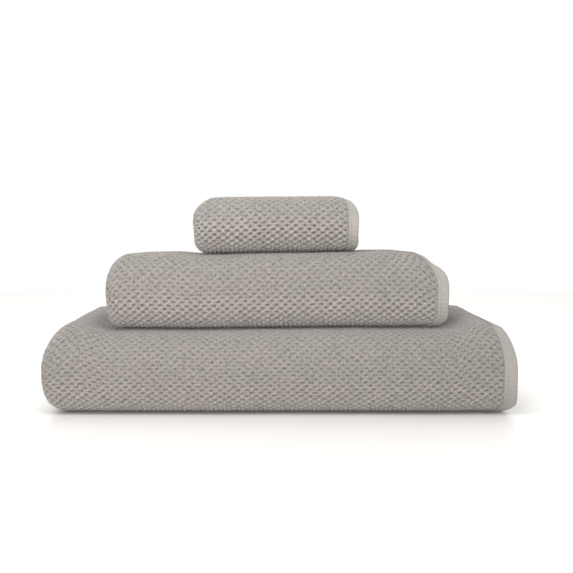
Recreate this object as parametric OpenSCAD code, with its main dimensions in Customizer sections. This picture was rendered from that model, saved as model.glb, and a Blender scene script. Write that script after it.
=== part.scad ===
// A set of three terry towels, folded and stacked: a bath towel, a hand towel and a guest towel.
//
// Each towel is one cloth. It is first folded in three along its length, so that its left side is a
// fold and its right side shows the outer end hem. That packet is then folded across its width, with
// the fold at the front. The packet's cross-section is drawn in a plane (X, w), where w counts from
// the packet's inner face to its outer face, and is swept along the packet's own path.
//
// Millimetres. +X is to the right, the front folds face -Y, and Z = 0 is the surface it rests on.

/* [Bath towel] */
// Width when folded, a third of its 1400 mm length
bath_w = 467; // [440:1:500]
// Depth when folded, a third of its 700 mm width
bath_d = 233; // [220:1:260]
// Thickness of its cloth as it lies in the stack, nine layers high
bath_thick = 8.8; // [7.4:0.1:10]
// Width of its hems
bath_hem = 13; // [8:1:20]

/* [Hand towel] */
// Width when folded, a third of its 1000 mm length and a little over
hand_w = 340; // [300:1:380]
// Depth when folded, a third of its 500 mm width
hand_d = 167; // [160:1:190]
// Thickness of its cloth as it lies in the stack, nine layers high
hand_thick = 7.4; // [6.8:0.1:8.6]
// Width of its hems
hand_hem = 11; // [8:1:16]
// How far its front stands behind the bath towel's front
hand_back = 18; // [0:1:30]
// How far its middle is to the left of the bath towel's middle
hand_left = 2; // [0:1:20]

/* [Guest towel] */
// Width when folded, a third of its 500 mm length
guest_w = 166; // [150:1:200]
// Depth when folded, half of its 300 mm width
guest_d = 150; // [130:1:160]
// Thickness of its cloth as it lies in the stack, six layers high
guest_thick = 8.4; // [6.8:0.1:9.6]
// Width of its hems
guest_hem = 10; // [6:1:14]
// How far its front stands behind the bath towel's front
guest_back = 30; // [0:1:40]
// How far its middle is to the left of the bath towel's middle
guest_left = 3; // [0:1:20]

/* [Cloth] */
// Air between two layers of cloth
layer_gap = 0.8; // [0.6:0.1:1.5]
// Thickness of a hem, which is flat-woven and turned over twice
hem_thick = 4.6; // [3:0.1:6]
// Width of a row of stitching
seam_w = 1.0; // [0.6:0.1:1.5]
// How far the thread stands proud of the hem
seam_proud = 0.4; // [0.2:0.1:0.6]

/* [Hidden] */
$fn = 64;
// Layers of cloth in one packet, from folding in three
packet_layers = 3;
// Clear height between one towel and the next
rest_gap = 0.3;
// Distance of a row of stitching from the hem's inner edge
seam_inset = 2;

TERRY = [0.70, 0.67, 0.64];
HEM = [0.76, 0.73, 0.70];
THREAD = [0.80, 0.78, 0.75];

// Pieces that follow the packet's whole path, and those that lie along X at an end of it
SWEPT = ["terry", "outer_end_hem", "inner_end_hem", "outer_end_seam", "inner_end_seam"];
BANDS = ["side_hem", "side_seam"];
// The two ends of a three-packet towel's path
ENDS = ["top", "tucked"];
// The guest towel opens, so it is divided at its front fold
PARTS = ["lower", "fold", "upper"];
HALVES = ["lower", "upper"];

// A towel's facts: folded width and depth, thickness of its cloth, packets in its height, hem width
bath = [bath_w, bath_d, bath_thick, 3, bath_hem];
hand = [hand_w, hand_d, hand_thick, 3, hand_hem];
guest = [guest_w, guest_d, guest_thick, 2, guest_hem];

function wide(towel) = towel[0];
function deep(towel) = towel[1];
function cloth_thick(towel) = towel[2];
function packets(towel) = towel[3];
function hem_w(towel) = towel[4];

// Distance from one layer of cloth to the next, and from one packet to the next
function pitch(towel) = cloth_thick(towel) + layer_gap;
function packet(towel) = packet_layers * pitch(towel);
function tall(towel) = packets(towel) * packet(towel) - layer_gap;
// Middle of the left fold, which turns from the inner layer to the outer one
function left_fold_x(towel) = -wide(towel) / 2 + pitch(towel) + cloth_thick(towel) / 2;
// Middle of the right fold, which turns from the inner layer to the middle one
function right_fold_x(towel) = wide(towel) / 2 - (pitch(towel) + cloth_thick(towel)) / 2;
// Middle of the front fold: its outer face touches the front of the towel's box
function front_fold_y(towel) = (tall(towel) - deep(towel)) / 2;
// Middle of the back fold of a towel with three packets
function back_fold_y(towel) = deep(towel) / 2 - packet(towel) + layer_gap / 2;

hand_z = tall(bath) + rest_gap;
guest_z = hand_z + tall(hand) + rest_gap;
hand_y = (hand_d - bath_d) / 2 + hand_back;
guest_y = (guest_d - bath_d) / 2 + guest_back;

// ---- Cross-sections of a packet, in the plane (X, w) ----

// One flat layer of cloth: level 0 is the packet's inner layer and level 2 its outer one
module layer(towel, level, x0, x1, thick) {
    translate([x0, (level + 0.5) * pitch(towel) - thick / 2])
        square([x1 - x0, thick]);
}

// Half a ring: a layer turning round a fold. side is 1 for a fold on the right, -1 on the left
module turn(x, w, mid_r, thick, side) {
    outer_r = mid_r + thick / 2;
    intersection() {
        translate([x, w])
            difference() {
                circle(outer_r);
                circle(mid_r - thick / 2);
            }
        translate([side > 0 ? x : x - outer_r, w - outer_r])
            square([outer_r, 2 * outer_r]);
    }
}

// The cloth's three layers and two side folds. outer_x1 and inner_x0 are where its two ends stop
module cloth_section(towel, thick, inner_x0, outer_x1) {
    x0 = left_fold_x(towel);
    x1 = right_fold_x(towel);
    layer(towel, 0, x0, x1, thick);
    layer(towel, 1, inner_x0, x1, thick);
    layer(towel, 2, x0, outer_x1, thick);
    turn(x1, pitch(towel), pitch(towel) / 2, thick, 1);
    turn(x0, 1.5 * pitch(towel), pitch(towel), thick, -1);
}

module terry_section(towel) {
    cloth_section(
        towel,
        cloth_thick(towel),
        left_fold_x(towel) + hem_w(towel),
        wide(towel) / 2 - hem_w(towel)
    );
}

module outer_end_hem_section(towel) {
    layer(towel, 2, wide(towel) / 2 - hem_w(towel), wide(towel) / 2, hem_thick);
}

module inner_end_hem_section(towel) {
    layer(towel, 1, left_fold_x(towel), left_fold_x(towel) + hem_w(towel), hem_thick);
}

module side_hem_section(towel) {
    cloth_section(towel, hem_thick, left_fold_x(towel), wide(towel) / 2);
}

// The thread shows on both faces of a hem
module seam_section(towel, level, x) {
    for (face = [-1, 1])
        translate([x, (level + 0.5) * pitch(towel) + face * (hem_thick + seam_proud) / 2])
            square([seam_w, seam_proud], center = true);
}

module outer_end_seam_section(towel) {
    seam_section(towel, 2, wide(towel) / 2 - hem_w(towel) + seam_inset);
}

module inner_end_seam_section(towel) {
    seam_section(towel, 1, left_fold_x(towel) + hem_w(towel) - seam_inset);
}

module side_seam_section(towel) {
    difference() {
        cloth_section(
            towel,
            hem_thick + 2 * seam_proud,
            left_fold_x(towel),
            wide(towel) / 2
        );
        side_hem_section(towel);
    }
}

// ---- Sweeping a section along the packet's path ----

// A flat stretch from y0 to y1 whose inner face is at height z and whose outer face is above it
module flat_up(y0, y1, z) {
    translate([0, y1, z])
        rotate([90, 0, 0])
            linear_extrude(y1 - y0)
                children();
}

// The same with its outer face below
module flat_down(y0, y1, z) {
    flat_up(y0, y1, z)
        mirror([0, 1])
            children();
}

// A half turn round a line along X, bulging to the back, with the inner face at radius r
module back_bend(y, z, r) {
    translate([0, y, z])
        rotate([0, 90, 0])
            rotate_extrude(angle = 180)
                translate([r, 0])
                    mirror([1, -1])
                        children();
}

module front_bend(y, z, r) {
    translate([0, y, z])
        mirror([0, 1, 0])
            back_bend(0, 0, r)
                children();
}

// Three packets: tucked inside, back to the rear fold, forward underneath, round the front, and back
module letter_sweep(towel) {
    p = packet(towel);
    front = front_fold_y(towel);
    back = back_fold_y(towel);
    hem = hem_w(towel);
    translate([0, 0, -layer_gap / 2]) {
        flat_up(front + hem, back, p) children();
        back_bend(back, p, 0) children();
        flat_down(front, back, p) children();
        front_bend(front, 1.5 * p, p / 2) children();
        flat_up(front, deep(towel) / 2 - hem, 2 * p) children();
    }
}

// A band along X at an end of the packet: at the back of the top packet, or at the tucked end
module letter_end(towel, end, inset, width) {
    p = packet(towel);
    translate([0, 0, -layer_gap / 2]) {
        if (end == "top")
            flat_up(deep(towel) / 2 - inset - width, deep(towel) / 2 - inset, 2 * p)
                children();
        if (end == "tucked")
            flat_up(front_fold_y(towel) + inset, front_fold_y(towel) + inset + width, p)
                children();
    }
}

// Two packets, like a closed book with its spine at the front
module book_sweep(towel, part) {
    p = packet(towel);
    front = front_fold_y(towel);
    back = deep(towel) / 2 - hem_w(towel);
    translate([0, 0, -layer_gap / 2]) {
        if (part == "lower") flat_down(front, back, p) children();
        if (part == "fold") front_bend(front, p, 0) children();
        if (part == "upper") flat_up(front, back, p) children();
    }
}

module book_end(towel, half, inset, width) {
    p = packet(towel);
    y1 = deep(towel) / 2 - inset;
    translate([0, 0, -layer_gap / 2]) {
        if (half == "lower") flat_down(y1 - width, y1, p) children();
        if (half == "upper") flat_up(y1 - width, y1, p) children();
    }
}

// The whole path of a three-packet towel, or one part of a two-packet towel's path
module sweep(towel, part) {
    if (packets(towel) == 3) letter_sweep(towel) children();
    if (packets(towel) == 2) book_sweep(towel, part) children();
}

module band(towel, end, inset, width) {
    if (packets(towel) == 3) letter_end(towel, end, inset, width) children();
    if (packets(towel) == 2) book_end(towel, end, inset, width) children();
}

// ---- Sub-parts ----

module terry(towel, part) {
    color(TERRY) sweep(towel, part) terry_section(towel);
}

module outer_end_hem(towel, part) {
    color(HEM) sweep(towel, part) outer_end_hem_section(towel);
}

module inner_end_hem(towel, part) {
    color(HEM) sweep(towel, part) inner_end_hem_section(towel);
}

module outer_end_seam(towel, part) {
    color(THREAD) sweep(towel, part) outer_end_seam_section(towel);
}

module inner_end_seam(towel, part) {
    color(THREAD) sweep(towel, part) inner_end_seam_section(towel);
}

module side_hem(towel, end) {
    color(HEM) band(towel, end, 0, hem_w(towel)) side_hem_section(towel);
}

module side_seam(towel, end) {
    from_edge = hem_w(towel) - seam_inset - seam_w / 2;
    color(THREAD) band(towel, end, from_edge, seam_w) side_seam_section(towel);
}

module swept_piece(towel, piece, part) {
    if (piece == "terry") terry(towel, part);
    if (piece == "outer_end_hem") outer_end_hem(towel, part);
    if (piece == "inner_end_hem") inner_end_hem(towel, part);
    if (piece == "outer_end_seam") outer_end_seam(towel, part);
    if (piece == "inner_end_seam") inner_end_seam(towel, part);
}

module band_piece(towel, piece, end) {
    if (piece == "side_hem") side_hem(towel, end);
    if (piece == "side_seam") side_seam(towel, end);
}

module place_hand() {
    translate([-hand_left, hand_y, hand_z]) children();
}

module place_guest() {
    translate([-guest_left, guest_y, guest_z]) children();
}

for (piece = SWEPT)
    swept_piece(bath, piece, "whole");

for (end = ENDS, piece = BANDS)
    band_piece(bath, piece, end);

for (piece = SWEPT)
    place_hand() swept_piece(hand, piece, "whole");

for (end = ENDS, piece = BANDS)
    place_hand() band_piece(hand, piece, end);

for (part = PARTS, piece = SWEPT)
    place_guest() swept_piece(guest, piece, part);

for (half = HALVES, piece = BANDS)
    place_guest() band_piece(guest, piece, half);
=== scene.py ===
"""Three folded terry towels in a stack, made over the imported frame.

Lengths are in millimetres until a mesh is made, which is in metres like the frame.

Each towel is one cloth, folded in three along its length and then folded across its width. Its
cross-section lies in a plane (x, w), where w counts outwards from the packet's inner face, and runs
from the tucked end, round the right fold, the middle layer and the left fold, to the outer end. The
section is carried along the packet's path, which goes round the front fold, and shape() then lets the
towel sag, round its ends and lie on the one below.
"""

import math
from dataclasses import dataclass

import bpy
import numpy as np
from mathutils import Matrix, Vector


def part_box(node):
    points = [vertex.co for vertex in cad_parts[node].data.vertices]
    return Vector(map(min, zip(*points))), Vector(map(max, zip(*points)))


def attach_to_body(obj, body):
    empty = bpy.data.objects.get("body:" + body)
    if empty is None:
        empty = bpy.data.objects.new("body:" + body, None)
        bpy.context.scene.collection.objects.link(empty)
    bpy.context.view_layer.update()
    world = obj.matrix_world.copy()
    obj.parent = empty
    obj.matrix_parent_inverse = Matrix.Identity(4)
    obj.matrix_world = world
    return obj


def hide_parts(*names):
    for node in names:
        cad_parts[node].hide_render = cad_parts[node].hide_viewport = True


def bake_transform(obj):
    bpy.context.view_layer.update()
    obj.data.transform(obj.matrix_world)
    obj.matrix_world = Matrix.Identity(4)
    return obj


MM = 0.001
LAYER_GAP = 0.8
LAYERS_PER_PACKET = 3

# ---- How the towels lie ----

# A towel's top rises over these lengths beside and behind the towel that lies on it
BESIDE_REACH = 30.0
BEHIND_REACH = 28.0
# How much it rises behind, as a share of its rises beside it
BEHIND_SHARE = 0.35
# The tops of the ends droop over this length
DROOP_REACH = 30.0
# A distance past any towel's edge, for a towel that nothing lies on
UNLOADED = 200.0
# Unevenness of the top faces and of the front rolls
TOP_WAVE = 0.4
FRONT_WAVE = 0.9
# How far the front rolls lean back at their tops
FRONT_LEAN = 5.0
# The level where the ends are pressed in most, and how far up and down that goes
WAIST_LEVEL = 0.36
WAIST_SPREAD = 0.2

# ---- The weave, the hems and the thread ----

# The weave: beads this far apart across the cloth, in rows this far apart, each row offset by half
BEAD_PITCH = 8.9
ROW_PITCH = 3.7
BEAD_RELIEF = 1.35
# How much lower some loops stand than others
PILE_RELIEF = 0.9
# Depth of the weave where it is bunched and where it is taut, as shares of BEAD_RELIEF
BUNCHED = 2.6
TAUT = 1.3
# A painted highlight: how much paler the colour is painted on the tops of bunched beads, in the same
# shares
BEAD_TOP_HIGHLIGHT = 1.0
# The weave is bunched below the first of these heights over the towel's under face, taut above the last
BUNCHED_TO = 12.0
TAUT_FROM = 42.0
SAMPLES_PER_BEAD = 7
SAMPLES_PER_ROW = 4
COARSE_STEP = 14.0
# Samples round a fold that has no visible beads
PLAIN_TURN_SAMPLES = 9
# The unseen side of the cloth has one sample for this many on the beaded side
BACK_STRIDE = 4
# Samples over which the beads fade into a plain stretch
FADE_SAMPLES = 9
# The cloth thins down to the hems over this length, which starts later where the weave is deep
EDGE_TAPER = 2.6
EDGE_DELAY = 1.5
# How much further in the terry's edge lies than a hem's face, so that it goes into the hem
EDGE_SINK = 0.3

RIB_PITCH = 3.0
RIB_RELIEF = 0.25
# How far the terry goes into its end hems
HEM_OVERLAP = 1.0
# A hem's turned edge is rounded over this length, and its ribs fade out from that to RIB_END
HEM_ROUND = 1.6
RIB_END = 0.2
# Its thickness at the very edge, as a share of the whole
HEM_EDGE = 0.35
# Samples over a hem's width
HEM_SAMPLES = 15
# How far the outer end hem lies off the cloth's middle, and the share of that by which it hangs
HEM_LIFT = 1.3
HEM_HANG = 0.35
STITCH_PITCH = 2.8
THREAD_RADIUS = 0.55
THREAD_SIDES = 6
SEAM_INSET = 2.0
# How deep the stitching pulls a hem in, and how wide that furrow is
SEAM_DEPTH = 0.5
SEAM_WIDTH = 0.7
# Shares of a baked texture: its edges, its part for the beaded side, and a plain stretch against a beaded
BAKE_MARGIN = 0.015
BAKE_SPLIT = 0.66
UNSEEN_SHARE = 0.15

# ---- Colours ----

TERRY_DARK = (0.38, 0.349, 0.324)
TERRY_LIGHT = (0.428, 0.393, 0.363)
HEM_DARK = (0.232, 0.219, 0.203)
HEM_LIGHT = (0.264, 0.249, 0.231)
THREAD_DARK = (0.265, 0.249, 0.232)
THREAD_LIGHT = (0.33, 0.31, 0.29)
FLOOR_COLOR = (0.76, 0.74, 0.71)


@dataclass
class End:
    """How one end of a folded towel is shaped. Levels go from 0, its under face, to 1, its top face."""

    # How far in the end is tucked at its under face, and the level where that tuck stops
    tuck: float
    tuck_level: float
    # How far in it is pressed about a third of the way up
    waist: float
    # How far in it slopes at its top face, and the level where that slope begins
    slope: float
    onset: float
    # How far its top rises beside the towel that lies on it, and droops in front and at the back
    rise: float
    droop: float
    back_droop: float


@dataclass
class Towel:
    """A folded towel. The first facts come from the frame, and the rest say how it lies."""

    name: str
    low: np.ndarray
    high: np.ndarray
    packets: int
    hem: float
    hem_thick: float
    cut: tuple
    # Height of its top in the middle, how much that rises to the right, and falls to the back
    top: float
    tilt: float
    back_drop: float
    # The half-width and the back of what lies on it
    load_half: float
    load_back: float
    # The depth of its front roll as a share of half its height, and how square that roll is, from 2
    roll: float
    squareness: float
    left: End
    right: End
    phase: float

    @property
    def half(self):
        return (self.high[0] - self.low[0]) / 2

    @property
    def middle(self):
        return (self.high[0] + self.low[0]) / 2

    @property
    def height(self):
        return self.high[2] - self.low[2]

    @property
    def pitch(self):
        return (self.height + LAYER_GAP) / (self.packets * LAYERS_PER_PACKET)

    @property
    def packet(self):
        return LAYERS_PER_PACKET * self.pitch

    @property
    def cloth(self):
        return self.pitch - LAYER_GAP

    @property
    def left_fold(self):
        return self.low[0] + self.pitch + self.cloth / 2

    @property
    def right_fold(self):
        return self.high[0] - (self.pitch + self.cloth) / 2

    @property
    def front_fold(self):
        return self.low[1] + self.height / 2

    @property
    def back_fold(self):
        return self.high[1] - self.packet + LAYER_GAP / 2


def measured(name):
    """Lowest and highest corner of a towel's CAD nodes, in millimetres."""
    corners = [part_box(node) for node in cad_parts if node.startswith(name)]
    low = np.min([c[0] for c in corners], axis=0) / MM
    high = np.max([c[1] for c in corners], axis=0) / MM
    return low, high


def width_of(node):
    """Width of a CAD node along X, in millimetres."""
    low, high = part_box(node)
    return (high[0] - low[0]) / MM


def make_towels():
    """The three towels, from the bottom one up, with how each of them lies."""
    upper_hem = "guest_towel_upper_outer_end_hem"
    hem_thick = (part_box(upper_hem)[1][2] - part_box(upper_hem)[0][2]) / MM
    facts = {}
    for name in ("bath_towel", "hand_towel", "guest_towel"):
        facts[name] = measured(name)
    hand_low, hand_high = facts["hand_towel"]
    guest_low, guest_high = facts["guest_towel"]
    guest_hem = width_of(upper_hem)
    bath = Towel(
        "bath_towel", *facts["bath_towel"],
        packets=3, hem=width_of("bath_towel_outer_end_hem"), hem_thick=hem_thick, cut=(700, 1400),
        top=82.0, tilt=0.0093, back_drop=0.0,
        load_half=(hand_high[0] - hand_low[0]) / 2 - 4, load_back=hand_high[1],
        roll=0.78, squareness=2.5,
        left=End(9.0, 0.45, waist=1.2, slope=14.0, onset=0.25, rise=8.0, droop=4.0, back_droop=5.0),
        right=End(12.0, 0.15, waist=1.0, slope=12.4, onset=0.25, rise=6.0, droop=3.5, back_droop=11.0),
        phase=0.4,
    )
    hand = Towel(
        "hand_towel", *facts["hand_towel"],
        packets=3, hem=width_of("hand_towel_outer_end_hem"), hem_thick=hem_thick, cut=(500, 1000),
        top=157.4, tilt=0.026, back_drop=4.0,
        load_half=(guest_high[0] - guest_low[0]) / 2 - 2, load_back=guest_high[1],
        roll=0.8, squareness=2.5,
        left=End(4.0, 0.45, waist=1.2, slope=10.0, onset=0.3, rise=2.0, droop=2.5, back_droop=3.0),
        right=End(10.0, 0.2, waist=0.6, slope=24.0, onset=0.5, rise=0.0, droop=4.0, back_droop=7.0),
        phase=2.1,
    )
    guest = Towel(
        "guest_towel", *facts["guest_towel"],
        packets=2, hem=guest_hem, hem_thick=hem_thick, cut=(300, 500),
        top=214.0, tilt=0.004, back_drop=4.0,
        load_half=UNLOADED, load_back=UNLOADED,
        roll=1.0, squareness=2.0,
        left=End(1.0, 0.45, waist=0.8, slope=8.5, onset=0.6, rise=0.0, droop=3.0, back_droop=4.0),
        right=End(3.5, 0.2, waist=0.8, slope=8.0, onset=0.6, rise=0.0, droop=4.0, back_droop=5.0),
        phase=4.4,
    )
    return [bath, hand, guest]


def smooth(value, start, end):
    """0 before start, 1 after end, and smooth between them."""
    t = np.clip((value - start) / (end - start), 0.0, 1.0)
    return t * t * (3 - 2 * t)


def ripple(along, across, phase):
    """A gentle unevenness from -1 to 1, with waves of about 55 to 190 mm."""
    return (
        0.45 * np.sin(along / 30 + 1.3 * phase)
        + 0.30 * np.sin(along / 15.7 + across / 21 + 2.7 * phase)
        + 0.25 * np.sin(across / 19 - along / 41 + 4.1 * phase)
    )


# ---- How a folded towel lies ----


def top_height(towel, x, y):
    """Height of a towel's top face, as it lies in the stack."""
    off_middle = x - towel.middle
    loaded = towel.load_half
    behind = smooth(y, towel.load_back - 4, towel.load_back - 4 + BEHIND_REACH)
    beside_left = smooth(-off_middle, loaded, loaded + BESIDE_REACH)
    beside_right = smooth(off_middle, loaded, loaded + BESIDE_REACH)
    beside = towel.left.rise * beside_left + towel.right.rise * beside_right
    rise = np.maximum(beside, BEHIND_SHARE * behind * (towel.left.rise + towel.right.rise))
    lean = towel.tilt * loaded * np.tanh(off_middle / loaded)
    back = smooth(y, towel.low[1], towel.high[1])
    wave = TOP_WAVE * ripple(x, y, towel.phase)
    droop = end_droop(towel, off_middle, back)
    return towel.top + lean + rise - towel.back_drop * back - droop + wave


def end_droop(towel, off_middle, back):
    """How far the top falls towards its ends. back goes from 0 in front to 1 at the back."""
    total = 0.0
    for end, side in ((towel.left, -1), (towel.right, 1)):
        start = towel.half - end.slope - DROOP_REACH
        near = np.clip((side * off_middle - start) / DROOP_REACH, 0, 1.3)
        total = total + near**3 * (end.droop + (end.back_droop - end.droop) * back)
    return total


def bottom_height(index, x, y):
    """Height of a towel's under face: the floor, or the top of the towel below."""
    if index == 0:
        return np.zeros_like(x)
    return top_height(TOWELS[index - 1], x, y) + towel_clearance(index)


def towel_clearance(index):
    """The air that the frame leaves between this towel and the one below."""
    return TOWELS[index].low[2] - TOWELS[index - 1].high[2]


def roll_front(towel, y, z):
    """The half-round front fold becomes flatter in front and squarer at its top and bottom."""
    squareness = towel.squareness
    radius = towel.height / 2
    middle_z = towel.low[2] + radius
    depth = towel.roll * radius
    new_fold = towel.low[1] + depth
    across = np.maximum(towel.front_fold - y, 0) / radius
    up = (z - middle_z) / radius
    reach = np.hypot(across, up)
    norm = (across**squareness + np.abs(up) ** squareness) ** (1 / squareness)
    swell = np.where(across > 0, reach / np.maximum(norm, 1e-9), 1.0)
    stretch = (towel.high[1] - new_fold) / (towel.high[1] - towel.front_fold)
    behind = towel.high[1] - (towel.high[1] - y) * stretch
    rolled_y = np.where(y < towel.front_fold, new_fold - depth * across * swell, behind)
    rolled_z = middle_z + radius * up * swell
    return rolled_y, rolled_z


def end_shift(level, end):
    """How far a towel's end moves inwards at a level, from its tuck, its waist and its top slope."""
    low = np.clip(1 - level / end.tuck_level, 0, 1)
    bulge = np.exp(-(((level - WAIST_LEVEL) / WAIST_SPREAD) ** 2))
    high = np.clip((level - end.onset) / (1 - end.onset), 0, 1.1)
    return end.tuck * low**2 + end.waist * bulge + end.slope * high**4


def shape(towel, x, y, z):
    """Where a point of the flat, unloaded packet goes once the towel lies in the stack."""
    index = TOWELS.index(towel)
    y, z = roll_front(towel, y, z)
    level = (z - towel.low[2]) / towel.height
    off_middle = (x - towel.middle) / towel.half
    x = x + smooth(-off_middle, 0.5, 1.0) * end_shift(level, towel.left)
    x = x - smooth(off_middle, 0.5, 1.0) * end_shift(level, towel.right)
    front = 1 - smooth(y, towel.low[1], towel.low[1] + 0.6 * towel.height)
    y = y + FRONT_WAVE * front * (ripple(x, z, towel.phase) + 1)
    y = y + FRONT_LEAN * front * smooth(level, 0.3, 1.0)
    under = bottom_height(index, x, y)
    over = top_height(towel, x, y)
    return x, y, under + level * (over - under)


# ---- The cloth's section and the packet's path ----


def stretch_of(start, end, fine, pitch, samples):
    """Places along a straight or curved stretch, with the lattice's phase where it is beaded."""
    length = abs(end - start)
    if fine:
        cells = max(1, round(length / pitch))
        count = cells * samples
    else:
        cells = 0
        count = max(1, math.ceil(length / COARSE_STEP))
    return np.linspace(0.0, 1.0, count + 1), cells


def joined(stretches):
    """Stretches laid end to end, sharing their end points."""
    keys = stretches[0].keys()
    out = {}
    for key in keys:
        parts = [s[key] if i == 0 else s[key][1:] for i, s in enumerate(stretches)]
        out[key] = np.concatenate(parts)
    return out


def section_line(x0, x1, w, facing, beaded):
    """A straight stretch of the section, at height w. facing is 1 where the cloth's outside is up."""
    t, cells = stretch_of(x0, x1, beaded, BEAD_PITCH, SAMPLES_PER_BEAD)
    return {
        "x": x0 + (x1 - x0) * t,
        "w": np.full_like(t, w),
        "nx": np.zeros_like(t),
        "nw": np.full_like(t, facing),
        "phase": cells * t,
        "beads": np.full_like(t, 1.0 if beaded else 0.0),
        "length": abs(x1 - x0) * t,
    }


def section_turn(x, w, radius, side, beaded):
    """A half turn. side is 1 on the right, where the cloth comes down, and -1 on the left, going up."""
    length = math.pi * radius
    outer_length = 1.6 * length
    start = math.pi / 2 * side
    t, cells = stretch_of(0, outer_length, beaded, BEAD_PITCH, SAMPLES_PER_BEAD)
    if not beaded:
        t = np.linspace(0.0, 1.0, PLAIN_TURN_SAMPLES)
    angle = start - math.pi * t * side
    return {
        "x": x + side * radius * np.abs(np.cos(angle)),
        "w": w + radius * np.sin(angle),
        "nx": side * np.abs(np.cos(angle)),
        "nw": np.sin(angle),
        "phase": cells * t,
        "beads": np.full_like(t, 1.0 if beaded else 0.0),
        "length": length * t,
    }


def cumulative(stretches, key):
    """Adds each stretch's end value to the ones after it, so that key counts on."""
    total = 0.0
    for s in stretches:
        s[key] = s[key] + total
        total = s[key][-1]
    return stretches


def cloth_section(towel, inner_start, outer_end, beaded):
    """The cloth's middle line across a packet. beaded names the stretches with visible beads."""
    p = towel.pitch
    stretches = [
        section_line(inner_start, towel.right_fold, 1.5 * p, 1.0, "inner" in beaded),
        section_turn(towel.right_fold, p, p / 2, 1, "right" in beaded),
        section_line(towel.right_fold, towel.left_fold, 0.5 * p, -1.0, "middle" in beaded),
        section_turn(towel.left_fold, 1.5 * p, p, -1, "left" in beaded),
        section_line(towel.left_fold, outer_end, 2.5 * p, 1.0, "outer" in beaded),
    ]
    cumulative(stretches, "phase")
    cumulative(stretches, "length")
    return joined(stretches)


def path_run(y0, y1, z, up, beaded):
    """A straight run of the packet's path, at height z. up says which way its outside faces."""
    t, cells = stretch_of(y0, y1, beaded, ROW_PITCH, SAMPLES_PER_ROW)
    direction = 1.0 if up else -1.0
    return {
        "y": y0 + (y1 - y0) * t,
        "z": np.full_like(t, z),
        "my": np.zeros_like(t),
        "mz": np.full_like(t, direction),
        "phase": cells * t,
        "beads": np.full_like(t, 1.0 if beaded else 0.0),
        "length": abs(y1 - y0) * t,
    }


def path_bend(towel, y, z, radius, front):
    """A half turn of the packet: from under to over at the front, and from over to under at the back."""
    length = math.pi * (radius + towel.packet / 2)
    outer_length = math.pi * (radius + towel.packet)
    t, cells = stretch_of(0, outer_length, True, ROW_PITCH, SAMPLES_PER_ROW)
    side = -1.0 if front else 1.0
    angle = side * math.pi * (0.5 - t)
    my = side * np.cos(angle)
    mz = np.sin(angle)
    return {
        "y": y + radius * my,
        "z": z + radius * mz,
        "my": my,
        "mz": mz,
        "phase": cells * t,
        "beads": np.ones_like(t),
        "length": length * t,
    }


def packet_path(towel):
    """The packet's path, as {part: stretches}, with the weave's rows counted on from part to part."""
    q = towel.packet
    low = towel.low[2] - LAYER_GAP / 2
    front = towel.front_fold
    back = towel.back_fold
    end = towel.high[1] - towel.hem
    if towel.packets == LAYERS_PER_PACKET:
        parts = {
            "lower": [
                path_run(front + towel.hem, back, low + q, True, False),
                path_bend(towel, back, low + q, 0.0, False),
                path_run(back, front, low + q, False, False),
            ],
            "fold": [path_bend(towel, front, low + 1.5 * q, q / 2, True)],
            "upper": [path_run(front, end, low + 2 * q, True, True)],
        }
    else:
        parts = {
            "lower": [path_run(end, front, low + q, False, True)],
            "fold": [path_bend(towel, front, low + q, 0.0, True)],
            "upper": [path_run(front, end, low + q, True, True)],
        }
    stretches = [s for part in parts.values() for s in part]
    cumulative(stretches, "phase")
    cumulative(stretches, "length")
    return {name: joined(part) for name, part in parts.items()}


def end_path(towel, end):
    """The short path of a side hem, at the packet's open edge: a part's name, or "tucked"."""
    q = towel.packet
    low = towel.low[2] - LAYER_GAP / 2
    edge = towel.high[1]
    if end == "top":
        return path_run(edge - towel.hem, edge, low + 2 * q, True, True)
    if end == "tucked":
        return path_run(towel.front_fold, towel.front_fold + towel.hem, low + q, True, True)
    return path_run(edge - towel.hem, edge, low + q, end == "upper", True)


def place(towel, section, path, offset):
    """Points of a face of the cloth: section along the rows, path along the columns."""
    x = section["x"][:, None] + section["nx"][:, None] * offset
    w = section["w"][:, None] + section["nw"][:, None] * offset
    y = path["y"][None, :] + w * path["my"][None, :]
    z = path["z"][None, :] + w * path["mz"][None, :]
    x, y, z = shape(towel, x + 0 * y, y, z)
    return np.stack([x, y, z], axis=-1) * MM


# ---- Meshes ----


def grid_faces(rows, columns, base):
    """Quads of a grid of rows by columns vertices, the first of them numbered base."""
    i, j = np.meshgrid(np.arange(rows - 1), np.arange(columns - 1), indexing="ij")
    a = base + i * columns + j
    quads = np.stack([a, a + columns, a + columns + 1, a + 1], axis=-1)
    return quads.reshape(-1, 4)


def thinned(values, stride):
    """Indices of values that the unseen side keeps: every stride-th, and the last."""
    last = len(values) - 1
    return [*range(0, last, stride), last]


def rim_faces(row_ids, column_ids, columns, rows, base, back):
    """Faces that close the cloth's four edges, between the beaded side and the plain side."""
    faces = []
    last_row = rows - 1
    last_column = columns - 1
    for a, (i0, i1) in enumerate(zip(row_ids[:-1], row_ids[1:])):
        near = [i * columns for i in range(i1, i0 - 1, -1)]
        faces.append(near + [base + back[a, 0], base + back[a + 1, 0]])
        far = [i * columns + last_column for i in range(i0, i1 + 1)]
        faces.append(far + [base + back[a + 1, -1], base + back[a, -1]])
    for b, (j0, j1) in enumerate(zip(column_ids[:-1], column_ids[1:])):
        near = list(range(j0, j1 + 1))
        faces.append(near + [base + back[0, b + 1], base + back[0, b]])
        far = [last_row * columns + j for j in range(j1, j0 - 1, -1)]
        faces.append(far + [base + back[-1, b], base + back[-1, b + 1]])
    return faces


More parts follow.
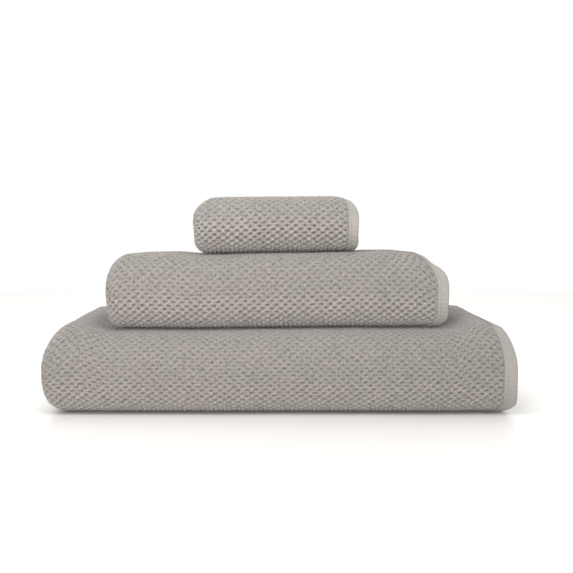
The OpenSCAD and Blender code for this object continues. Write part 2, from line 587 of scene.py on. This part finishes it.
def new_object(name, points, faces, painted_shading=None):
    """A smooth-shaded mesh object. It may carry a value for each point that the terry material reads as
    painted shading: painted shade in the pits between beads and a painted highlight on the tops of bunched
    beads.
    """
    mesh = bpy.data.meshes.new(name)
    mesh.from_pydata(points.tolist(), [], faces)
    mesh.polygons.foreach_set("use_smooth", np.ones(len(mesh.polygons), dtype=bool))
    if painted_shading is not None:
        attribute = mesh.attributes.new("painted_shading", "FLOAT", "POINT")
        attribute.data.foreach_set("value", painted_shading.astype(np.float32))
    mesh.validate()
    mesh.update()
    obj = bpy.data.objects.new(name, mesh)
    bpy.context.scene.collection.objects.link(obj)
    return obj


def faces_outward(front, back):
    """True if the quads of front turn away from back."""
    i, j = front.shape[0] // 2, front.shape[1] // 2
    corner = front[i, j]
    normal = np.cross(front[i + 1, j] - corner, front[i, j + 1] - corner)
    return float(np.dot(normal, corner - back[i, j])) > 0


def weave_uv(obj, coordinates):
    """A UV map in millimetres along and across the cloth, for the weave's fine detail."""
    layer = obj.data.uv_layers.new(name="weave")
    loops = np.empty(len(obj.data.loops), dtype=np.int32)
    obj.data.loops.foreach_get("vertex_index", loops)
    layer.data.foreach_set("uv", coordinates[loops].astype(np.float32).ravel())


def spread(length, share):
    """Places from 0 to 1 along a length, with more room where share is larger."""
    steps = np.diff(length) * (share[1:] + share[:-1]) / 2
    places = np.concatenate([[0.0], np.cumsum(steps)])
    return places / places[-1]


def bake_uv(obj, section, path, row_ids, column_ids):
    """The UV map that baked textures use. The beaded side has most of it, and the rim goes round that."""
    plain = np.ones(len(section["length"]))
    share = UNSEEN_SHARE + (1 - UNSEEN_SHARE) * section.get("beads", plain)
    u = BAKE_MARGIN + (1 - 2 * BAKE_MARGIN) * spread(section["length"], share)
    v = spread(path["length"], np.ones(len(path["length"])))
    front_v = BAKE_MARGIN + (BAKE_SPLIT - 2 * BAKE_MARGIN) * v
    back_v = BAKE_SPLIT + BAKE_MARGIN + (1 - BAKE_SPLIT - 2 * BAKE_MARGIN) * v
    front = np.stack(np.meshgrid(u, front_v, indexing="ij"), axis=-1).reshape(-1, 2)
    back = np.stack(np.meshgrid(u[row_ids], back_v[column_ids], indexing="ij"), axis=-1).reshape(-1, 2)
    rim_u = u[row_ids]
    rim_u[[0, -1]] += np.array([-0.5, 0.5]) * BAKE_MARGIN
    rim_v = front_v[column_ids]
    rim_v[[0, -1]] += np.array([-0.5, 0.5]) * BAKE_MARGIN
    rim = np.stack(np.meshgrid(rim_u, rim_v, indexing="ij"), axis=-1).reshape(-1, 2)
    corners = np.empty(len(obj.data.loops), dtype=np.int32)
    obj.data.loops.foreach_get("vertex_index", corners)
    quads = (len(u) - 1) * (len(v) - 1) + (len(row_ids) - 1) * (len(column_ids) - 1)
    on_sides = np.arange(len(corners)) < 4 * quads
    places = np.where(
        on_sides[:, None],
        np.concatenate([front, back])[corners],
        np.concatenate([front, rim])[corners],
    )
    layer = obj.data.uv_layers.new(name="OFBake")
    layer.data.foreach_set("uv", places.astype(np.float32).ravel())


def strip(name, towel, section, path, front_offset, back_offset, painted_shading, stride):
    """A closed strip of cloth with the given offsets of its two faces from the middle line."""
    front = place(towel, section, path, front_offset)
    back = place(towel, section, path, back_offset)
    rows, columns = front.shape[:2]
    row_ids = thinned(section["x"], stride)
    column_ids = thinned(path["y"], stride)
    back_points = back[np.ix_(row_ids, column_ids)]
    numbers = np.arange(back_points.shape[0] * back_points.shape[1])
    numbers = numbers.reshape(back_points.shape[:2])
    base = rows * columns
    faces = grid_faces(rows, columns, 0).tolist()
    faces += grid_faces(*numbers.shape, base)[:, ::-1].tolist()
    faces += rim_faces(row_ids, column_ids, columns, rows, base, numbers)
    if not faces_outward(front, back):
        faces = [face[::-1] for face in faces]
    points = np.concatenate([front.reshape(-1, 3), back_points.reshape(-1, 3)])
    # Painted shading for the beaded side; the plain side gets none.
    shade = np.concatenate([painted_shading.reshape(-1), np.zeros(numbers.size)])
    obj = new_object(name, points, faces, shade)
    along, across = np.meshgrid(section["length"], path["length"], indexing="ij")
    flat = np.stack([along, across], axis=-1)
    back_flat = flat[np.ix_(row_ids, column_ids)]
    weave_uv(obj, np.concatenate([flat.reshape(-1, 2), back_flat.reshape(-1, 2)]))
    bake_uv(obj, section, path, row_ids, column_ids)
    return obj


def from_edges(values, at_start, at_end):
    """Distance of each value from the strip's free edges."""
    distance = np.full_like(values, 1e3)
    if at_start:
        distance = np.minimum(distance, values - values[0])
    if at_end:
        distance = np.minimum(distance, values[-1] - values)
    return distance


def fade(beads):
    """1 in beaded stretches and 0 in plain ones, changing over a few samples."""
    kernel = np.ones(FADE_SAMPLES) / FADE_SAMPLES
    padded = np.pad(beads, FADE_SAMPLES // 2, mode="edge")
    return np.convolve(padded, kernel, mode="valid") * beads


def bead_relief(section, path, tautness):
    """How far the weave's surface lies below the tops of its beads, from 0 to 1."""
    across = section["phase"][:, None] + 0.07 * np.sin(path["phase"] / 4.1)[None, :]
    along = path["phase"][None, :] + 0.12 * np.sin(section["phase"] / 1.9)[:, None]
    lattice = np.cos(2 * np.pi * across) * np.cos(np.pi * along)
    dimples = ((1 - lattice) / 2) ** 1.7
    narrow = np.cos(np.pi * along) ** 2
    return dimples * narrow ** (0.1 + 0.8 * tautness[None, :])


def weave_tautness(towel, part, path):
    """From 0, where the weave is bunched low on the front fold, to 1, where it is pulled flatter."""
    if part == "fold":
        way_up = np.linspace(0.0, 1.0, len(path["y"]))
        height = towel.height * (1 - np.cos(np.pi * way_up)) / 2
        return smooth(height, BUNCHED_TO, TAUT_FROM)
    return np.full(len(path["y"]), 1.0 if part == "upper" else 0.5)


def terry(towel, part, section, path):
    """One part of the terry cloth, with its beads raised and its edges thinned down to the hems."""
    half = towel.cloth / 2
    hem_half = towel.hem_thick / 2 - EDGE_SINK
    free_start = part == "lower"
    free_end = part == "upper"
    to_edge = np.minimum(
        from_edges(section["length"], True, True)[:, None],
        from_edges(path["length"], free_start, free_end)[None, :],
    )
    amount = fade(section["beads"])[:, None] * fade(path["beads"])[None, :]
    tautness = weave_tautness(towel, part, path)
    strength = BUNCHED + (TAUT - BUNCHED) * tautness
    depth = bead_relief(section, path, tautness) * amount * strength[None, :]
    full = np.sqrt(np.clip((to_edge - EDGE_DELAY * depth) / EDGE_TAPER, 0, 1))
    pile = PILE_RELIEF * DRAW.random(depth.shape) * amount
    front = hem_half + (half - hem_half) * full - (BEAD_RELIEF * depth + pile) * full
    back = -(hem_half + (half - hem_half) * full)
    # Painted shading: higher in the pits between beads, for painted shade, and below zero on the tops of
    # bunched beads, for a painted highlight.
    shade = depth - BEAD_TOP_HIGHLIGHT * amount * (1 - tautness)[None, :]
    return strip(f"{towel.name}_terry_{part}", towel, section, path, front, back, shade, BACK_STRIDE)


def rounded(distance, half, radius):
    """Half thickness of a hem at a distance from its edge, which is turned over and so round."""
    t = np.clip(distance / radius, 0, 1)
    return half * (HEM_EDGE + (1 - HEM_EDGE) * np.sqrt(1 - (1 - t) ** 2))


def end_hem_section(towel, level, x0, x1):
    """The section of an end hem, which is flat and narrow."""
    x = np.linspace(x0, x1, HEM_SAMPLES)
    return {
        "x": x,
        "w": np.full(HEM_SAMPLES, (level + 0.5) * towel.pitch),
        "nx": np.zeros(HEM_SAMPLES),
        "nw": np.ones(HEM_SAMPLES),
        "length": x - x0,
    }


def resampled(values, step):
    """The same section or path, sampled about every step millimetres along its length."""
    length = values["length"]
    count = max(2, math.ceil((length[-1] - length[0]) / step) + 1)
    at = np.linspace(length[0], length[-1], count)
    return {key: np.interp(at, length, line) for key, line in values.items()}


def hem_lift(end, path):
    """How far an end hem lies off the cloth's middle line, along a path: less on top, as it hangs."""
    if end == "outer":
        return HEM_LIFT * (1 - HEM_HANG * path["mz"])
    return 0 * path["mz"]


def hem(name, towel, section, path, across, ribs_along, lift=0.0):
    """A flat-woven band, with fine ribs across it. across is the distance over its width."""
    edge = across.max() - across
    half = rounded(edge, towel.hem_thick / 2, HEM_ROUND)
    ribs = RIB_RELIEF * (np.cos(2 * np.pi * ribs_along / RIB_PITCH) - 1)
    ribs = ribs * smooth(edge, RIB_END, HEM_ROUND)
    sewn = -SEAM_DEPTH * np.exp(-(((across - across.min() - SEAM_INSET) / SEAM_WIDTH) ** 2))
    offset = half + ribs + sewn
    return strip(name, towel, section, path, lift + offset, lift - offset, 0 * offset, 1)


def tube(name, rings):
    """A closed tube through rings, an array of ring by point by coordinate."""
    count, sides = rings.shape[:2]
    faces = []
    for i in range(count - 1):
        for j in range(sides):
            k = (j + 1) % sides
            faces.append([i * sides + j, i * sides + k, (i + 1) * sides + k, (i + 1) * sides + j])
    faces.append(list(range(sides))[::-1])
    faces.append(list(range((count - 1) * sides, count * sides)))
    obj = new_object(name, rings.reshape(-1, 3), faces)
    tube_uv(obj, count, sides)
    return obj


def tube_uv(obj, count, sides):
    """The UV map that a baked texture uses: the tube laid out flat, with its two caps shrunk away."""
    ring, side = np.meshgrid(np.arange(count - 1), np.arange(sides), indexing="ij")
    u = np.stack([ring, ring, ring + 1, ring + 1], axis=-1) / (count - 1)
    v = np.stack([side, side + 1, side + 1, side], axis=-1) / sides
    walls = np.stack([u, v], axis=-1).reshape(-1, 2)
    caps = np.zeros((2 * sides, 2))
    layer = obj.data.uv_layers.new(name="OFBake")
    places = BAKE_MARGIN + (1 - 2 * BAKE_MARGIN) * np.concatenate([walls, caps])
    layer.data.foreach_set("uv", places.astype(np.float32).ravel())


def stitch_profile(length):
    """Thread radius and height along a row of stitches: high in a stitch, sunk at its holes."""
    arch = np.abs(np.sin(np.pi * length / STITCH_PITCH))
    return THREAD_RADIUS * (0.45 + 0.55 * arch), 0.75 * arch - 0.55


def seam_along_path(name, towel, x, level, path, face, end):
    """A row of stitches along the packet's path, on one face of an end hem."""
    path = resampled(path, STITCH_PITCH / 5)
    radius, lift = stitch_profile(path["length"])
    rings = []
    for side in range(THREAD_SIDES):
        angle = 2 * np.pi * side / THREAD_SIDES
        section = end_hem_section(towel, level, x, x + 1)
        section = {key: line[:1] for key, line in section.items()}
        height = hem_lift(end, path) + face * (towel.hem_thick / 2 + lift + radius * math.sin(angle))
        points = place_thread(towel, section, path, height, radius * math.cos(angle), 0.0)
        rings.append(points)
    return tube(name, np.stack(rings, axis=1))


def seam_along_section(name, towel, section, path, face):
    """A row of stitches along X, on one face of a side hem."""
    section = resampled(section, STITCH_PITCH / 4)
    radius, lift = stitch_profile(section["length"])
    middle = {key: np.array([line.mean()]) for key, line in path.items()}
    rings = []
    for side in range(THREAD_SIDES):
        angle = 2 * np.pi * side / THREAD_SIDES
        height = face * (towel.hem_thick / 2 + lift + radius * math.sin(angle))
        rings.append(place_thread(towel, section, middle, height, 0.0, radius * math.cos(angle)))
    return tube(name, np.stack(rings, axis=1))


def place_thread(towel, section, path, height, dx, dy):
    """Points at a height over the middle line, moved sideways by dx or dy."""
    x = section["x"] + section["nx"] * height + dx
    w = section["w"] + section["nw"] * height
    y = path["y"] + w * path["my"] + dy
    z = path["z"] + w * path["mz"]
    x, y, z = shape(towel, x + 0 * y, y, z)
    return np.stack([x, y, z], axis=-1) * MM


# ---- Materials ----


def new_material(name):
    """A material, its nodes and links, and its principled shader."""
    material = bpy.data.materials.new(name)
    material.use_nodes = True
    nodes = material.node_tree.nodes
    return material, nodes, material.node_tree.links, nodes["Principled BSDF"]


def cloth_finish(shader, sheen):
    """A dull surface with the pale edges that fibres give it."""
    shader.inputs["Roughness"].default_value = 0.95
    shader.inputs["Specular IOR Level"].default_value = 0.15
    shader.inputs["Sheen Weight"].default_value = sheen
    shader.inputs["Sheen Roughness"].default_value = 0.55


def noise(nodes, links, vector, scale, detail):
    """Noise from 0 to 1."""
    node = nodes.new("ShaderNodeTexNoise")
    node.inputs["Scale"].default_value = scale
    node.inputs["Detail"].default_value = detail
    links.new(vector, node.inputs["Vector"])
    return node.outputs["Fac"]


def blended(nodes, links, factor, low, high):
    """A colour between low and high."""
    mix = nodes.new("ShaderNodeMix")
    mix.data_type = "RGBA"
    mix.inputs["A"].default_value = (*low, 1)
    mix.inputs["B"].default_value = (*high, 1)
    links.new(factor, mix.inputs["Factor"])
    return mix.outputs["Result"]


def multiplied(nodes, links, color, factor, darkest, dark_at=0.0, bright_at=1.0):
    """color, down to darkest times itself where factor is dark_at."""
    span = nodes.new("ShaderNodeMapRange")
    span.inputs["From Min"].default_value = dark_at
    span.inputs["From Max"].default_value = bright_at
    span.inputs["To Min"].default_value = darkest
    span.inputs["To Max"].default_value = 1.0
    links.new(factor, span.inputs["Value"])
    scale = nodes.new("ShaderNodeVectorMath")
    scale.operation = "SCALE"
    links.new(color, scale.inputs[0])
    links.new(span.outputs["Result"], scale.inputs["Scale"])
    return scale.outputs["Vector"]


def bump(nodes, links, height, distance, strength, normal=None):
    """A normal bent by a height, on top of an earlier normal if there is one."""
    node = nodes.new("ShaderNodeBump")
    node.inputs["Distance"].default_value = distance
    node.inputs["Strength"].default_value = strength
    links.new(height, node.inputs["Height"])
    if normal is not None:
        links.new(normal, node.inputs["Normal"])
    return node.outputs["Normal"]


def inverted(nodes, links, value):
    """1 less a value."""
    node = nodes.new("ShaderNodeMath")
    node.operation = "SUBTRACT"
    node.inputs[0].default_value = 1.0
    links.new(value, node.inputs[1])
    return node.outputs["Value"]


def terry_material():
    """Looped pile: loops of about a millimetre, with painted shade between the loops and in the pits
    between the beads, a painted highlight on the tops of bunched beads, and a little uneven in colour.
    """
    material, nodes, links, shader = new_material("terry")
    cloth_finish(shader, 0.25)
    weave = nodes.new("ShaderNodeUVMap")
    weave.uv_map = "weave"
    loops = nodes.new("ShaderNodeTexVoronoi")
    loops.inputs["Scale"].default_value = 0.65
    links.new(weave.outputs["UV"], loops.inputs["Vector"])
    painted_shading = nodes.new("ShaderNodeAttribute")
    painted_shading.attribute_name = "painted_shading"
    patches = noise(nodes, links, weave.outputs["UV"], 0.02, 2.0)
    fibres = noise(nodes, links, weave.outputs["UV"], 1.1, 3.0)
    color = blended(nodes, links, patches, TERRY_DARK, TERRY_LIGHT)
    # Painted shade in the pits between beads, down to 0.03 of the colour, and a painted highlight on the
    # tops of bunched beads.
    color = multiplied(nodes, links, color, painted_shading.outputs["Fac"], 0.03, BUNCHED, -BEAD_TOP_HIGHLIGHT)
    # Painted shade between the loops: darker towards each loop's edge, where its bump is lowest.
    color = multiplied(nodes, links, color, loops.outputs["Distance"], 0.55, 1.0, 0.0)
    color = multiplied(nodes, links, color, fibres, 0.66, 0.35, 0.65)
    links.new(color, shader.inputs["Base Color"])
    loop_height = inverted(nodes, links, loops.outputs["Distance"])
    normal = bump(nodes, links, loop_height, 0.0006, 0.55)
    normal = bump(nodes, links, fibres, 0.0003, 0.4, normal)
    links.new(normal, shader.inputs["Normal"])
    return material


def hem_material():
    """Flat weave: fine threads across the band."""
    material, nodes, links, shader = new_material("hem")
    cloth_finish(shader, 0.15)
    weave = nodes.new("ShaderNodeUVMap")
    weave.uv_map = "weave"
    threads = noise(nodes, links, weave.outputs["UV"], 1.3, 2.0)
    patches = noise(nodes, links, weave.outputs["UV"], 0.05, 2.0)
    color = blended(nodes, links, patches, HEM_DARK, HEM_LIGHT)
    color = multiplied(nodes, links, color, threads, 0.86)
    links.new(color, shader.inputs["Base Color"])
    links.new(bump(nodes, links, threads, 0.0003, 0.4), shader.inputs["Normal"])
    return material


def thread_material():
    """Sewing thread, a little lighter than the cloth, with a twist."""
    material, nodes, links, shader = new_material("thread")
    cloth_finish(shader, 0.1)
    place_node = nodes.new("ShaderNodeTexCoord")
    twist = noise(nodes, links, place_node.outputs["Object"], 1400, 1.0)
    color = blended(nodes, links, twist, THREAD_DARK, THREAD_LIGHT)
    links.new(color, shader.inputs["Base Color"])
    links.new(bump(nodes, links, twist, 0.0002, 0.4), shader.inputs["Normal"])
    return material


def dress(obj, material, nodes):
    """Gives a piece its material, and hides the CAD nodes that it stands for."""
    obj.data.materials.append(material)
    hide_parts(*nodes)


# ---- Assembly ----


def attach(obj, towel, part):
    """Lets a piece move with its body. The guest towel's upper half moves with its top half, and its fold
    stays fixed where it lies, with no body.
    """
    if towel.packets == LAYERS_PER_PACKET:
        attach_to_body(obj, towel.name)
    elif part == "fold":
        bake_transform(obj)
    elif part == "upper":
        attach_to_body(obj, f"{towel.name}_top_half")
    else:
        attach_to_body(obj, towel.name)


def beaded_stretches(towel, part):
    """The stretches of the section whose beads can be seen."""
    if towel.packets == LAYERS_PER_PACKET:
        return ("right", "left", "outer")
    if part == "lower":
        return ("right", "middle", "left")
    return ("right", "middle", "left", "outer")


def node_names(towel, part, piece):
    """The CAD node of a swept piece, which only the guest towel divides."""
    if towel.packets == LAYERS_PER_PACKET:
        return f"{towel.name}_{piece}"
    return f"{towel.name}_{part}_{piece}"


def joined_paths(paths):
    """The whole path of a towel whose end hems are in one piece."""
    return joined([paths["lower"], paths["fold"], paths["upper"]])


def build_terry(towel, paths, material):
    """The terry cloth, as {part: piece}."""
    made = {}
    inner_start = towel.left_fold + towel.hem - HEM_OVERLAP
    outer_end = towel.high[0] - towel.hem + HEM_OVERLAP
    for part, path in paths.items():
        section = cloth_section(towel, inner_start, outer_end, beaded_stretches(towel, part))
        obj = terry(towel, part, section, path)
        dress(obj, material, [node_names(towel, part, "terry")])
        attach(obj, towel, part)
        made[part] = obj
    return made


def build_end_hems(towel, paths, materials):
    """Both end hems and their rows of stitching, with those of the guest towel in three parts."""
    made = {}
    if towel.packets == LAYERS_PER_PACKET:
        paths = {"whole": joined_paths(paths)}
    ends = {
        "outer": (2, towel.high[0] - towel.hem, towel.high[0]),
        "inner": (1, towel.left_fold + towel.hem, towel.left_fold),
    }
    for part, path in paths.items():
        ribbed = resampled(path, RIB_PITCH / 5)
        for end, (level, inside, outside) in ends.items():
            section = end_hem_section(towel, level, inside, outside)
            section["length"] = np.abs(section["x"] - inside)
            name = node_names(towel, part, f"{end}_end_hem")
            across = section["length"][:, None] + 0 * ribbed["length"][None, :]
            ribs = ribbed["length"][None, :]
            band = hem(name + "_band", towel, section, ribbed, across, ribs, hem_lift(end, ribbed))
            dress(band, materials["hem"], [name])
            attach(band, towel, part)
            x = inside + math.copysign(SEAM_INSET, outside - inside)
            seam = node_names(towel, part, f"{end}_end_seam")
            found = [band]
            for face, side in ((1, "outside"), (-1, "inside")):
                row = seam_along_path(f"{seam}_{side}", towel, x, level, path, face, end)
                dress(row, materials["thread"], [seam])
                attach(row, towel, part)
                found.append(row)
            made.setdefault(part, []).extend(found)
    return made


def build_side_hems(towel, materials):
    """The two side hems, each across the whole section, and their stitching."""
    made = {}
    ends = ("top", "tucked") if towel.packets == LAYERS_PER_PACKET else ("upper", "lower")
    for end in ends:
        section = cloth_section(towel, towel.left_fold, towel.high[0], ())
        section = resampled(section, RIB_PITCH / 4)
        path = resampled(end_path(towel, end), 1.0)
        name = f"{towel.name}_{end}_side_hem"
        across = path["length"]
        if end == "tucked":
            across = across[::-1]
        across = across[None, :] + 0 * section["length"][:, None]
        band = hem(name + "_band", towel, section, path, across, section["length"][:, None])
        dress(band, materials["hem"], [name])
        attach(band, towel, end)
        seam = f"{towel.name}_{end}_side_seam"
        seam_path = {key: line.copy() for key, line in path.items()}
        inset = towel.hem / 2 - SEAM_INSET
        seam_path["y"] = path["y"].mean() + (inset if end == "tucked" else -inset) + 0 * path["y"]
        found = [band]
        for face, side in ((1, "outside"), (-1, "inside")):
            row = seam_along_section(f"{seam}_{side}", towel, section, seam_path, face)
            dress(row, materials["thread"], [seam])
            attach(row, towel, end)
            found.append(row)
        made[end] = found
    return made


def declare_cloth(cloths, end_hems, side_hems):
    """Gathers, for each part of the cloth, the hem and stitching pieces that go with it, and does nothing
    more with them.
    """
    owners = {"whole": "upper", "top": "upper", "tucked": "lower"}
    for part, cloth in cloths.items():
        trims = []
        for group in (end_hems, side_hems):
            for key, pieces in group.items():
                if owners.get(key, key) == part:
                    trims += pieces


def build_towel(towel, materials):
    """All pieces of one towel."""
    paths = packet_path(towel)
    cloths = build_terry(towel, paths, materials["terry"])
    end_hems = build_end_hems(towel, paths, materials)
    side_hems = build_side_hems(towel, materials)
    declare_cloth(cloths, end_hems, side_hems)


# ---- Studio ----


def build_floor():
    """A pale floor with a soft gloss, just under the stack."""
    mesh = bpy.data.meshes.new("floor")
    reach = 1.4
    corners = [(-reach, -reach, 0), (reach, -reach, 0), (reach, reach, 0), (-reach, reach, 0)]
    mesh.from_pydata(corners, [], [(0, 1, 2, 3)])
    floor = bpy.data.objects.new("floor", mesh)
    floor.location.z = -0.0005
    bpy.context.scene.collection.objects.link(floor)
    material, _, _, shader = new_material("floor")
    shader.inputs["Base Color"].default_value = (*FLOOR_COLOR, 1)
    shader.inputs["Roughness"].default_value = 0.3
    shader.inputs["IOR"].default_value = 2.4
    floor.data.materials.append(material)


def area_light(name, location, target, size, watts):
    """A square light, pointed at a target."""
    light = bpy.data.lights.new(name, "AREA")
    light.size = size
    light.energy = watts
    obj = bpy.data.objects.new(name, light)
    obj.location = location
    direction = np.array(target, float) - np.array(location, float)
    obj.rotation_euler = look(direction)
    bpy.context.scene.collection.objects.link(obj)


def look(direction):
    """Rotation that points a light's or a camera's own -Z along a direction, with no roll."""
    flat = math.hypot(direction[0], direction[1])
    pitch = math.atan2(direction[2], flat)
    turn = math.atan2(-direction[0], direction[1])
    return (math.pi / 2 + pitch, 0.0, turn)


def build_lights():
    """White surroundings, a soft light from above and in front, and one for the floor behind the stack."""
    world = bpy.data.worlds.new("studio")
    world.use_nodes = True
    background = world.node_tree.nodes["Background"]
    background.inputs["Color"].default_value = (1.0, 1.0, 1.0, 1)
    background.inputs["Strength"].default_value = 1.0
    bpy.context.scene.world = world
    area_light("overhead", (-0.1, -0.4, 0.7), (0, -0.05, 0.16), 0.4, 3.5)
    area_light("front", (-0.35, -1.4, 0.26), (0, 0, 0.14), 0.25, 14)
    area_light("backdrop", (0, 0.9, 1.0), (0, 0.9, 0), 1.5, 7)


def build_camera():
    """A camera a little over a metre in front of the bath towel, just over the stack's middle."""
    bath = TOWELS[0]
    camera = bpy.data.cameras.new("camera")
    camera.lens = 68.8
    camera.sensor_width = 36
    obj = bpy.data.objects.new("camera", camera)
    distance = 1050 * MM
    obj.location = (0.008, bath.low[1] * MM - distance, 0.205)
    pitch_down = math.radians(4.27)
    obj.rotation_euler = (math.pi / 2 - pitch_down, 0.0, 0.0)
    bpy.context.scene.collection.objects.link(obj)
    bpy.context.scene.camera = obj
    bpy.context.scene.view_settings.view_transform = "Standard"


DRAW = np.random.default_rng(7)
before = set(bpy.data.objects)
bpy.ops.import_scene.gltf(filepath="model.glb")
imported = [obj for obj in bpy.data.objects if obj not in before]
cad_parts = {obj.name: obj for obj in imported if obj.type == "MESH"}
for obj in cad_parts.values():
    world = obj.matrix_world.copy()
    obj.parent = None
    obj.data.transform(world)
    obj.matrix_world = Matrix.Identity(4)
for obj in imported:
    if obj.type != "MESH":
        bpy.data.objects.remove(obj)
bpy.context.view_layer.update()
TOWELS = make_towels()
build_floor()
build_lights()
build_camera()
finishes = {"terry": terry_material(), "hem": hem_material(), "thread": thread_material()}
for each in TOWELS:
    build_towel(each, finishes)
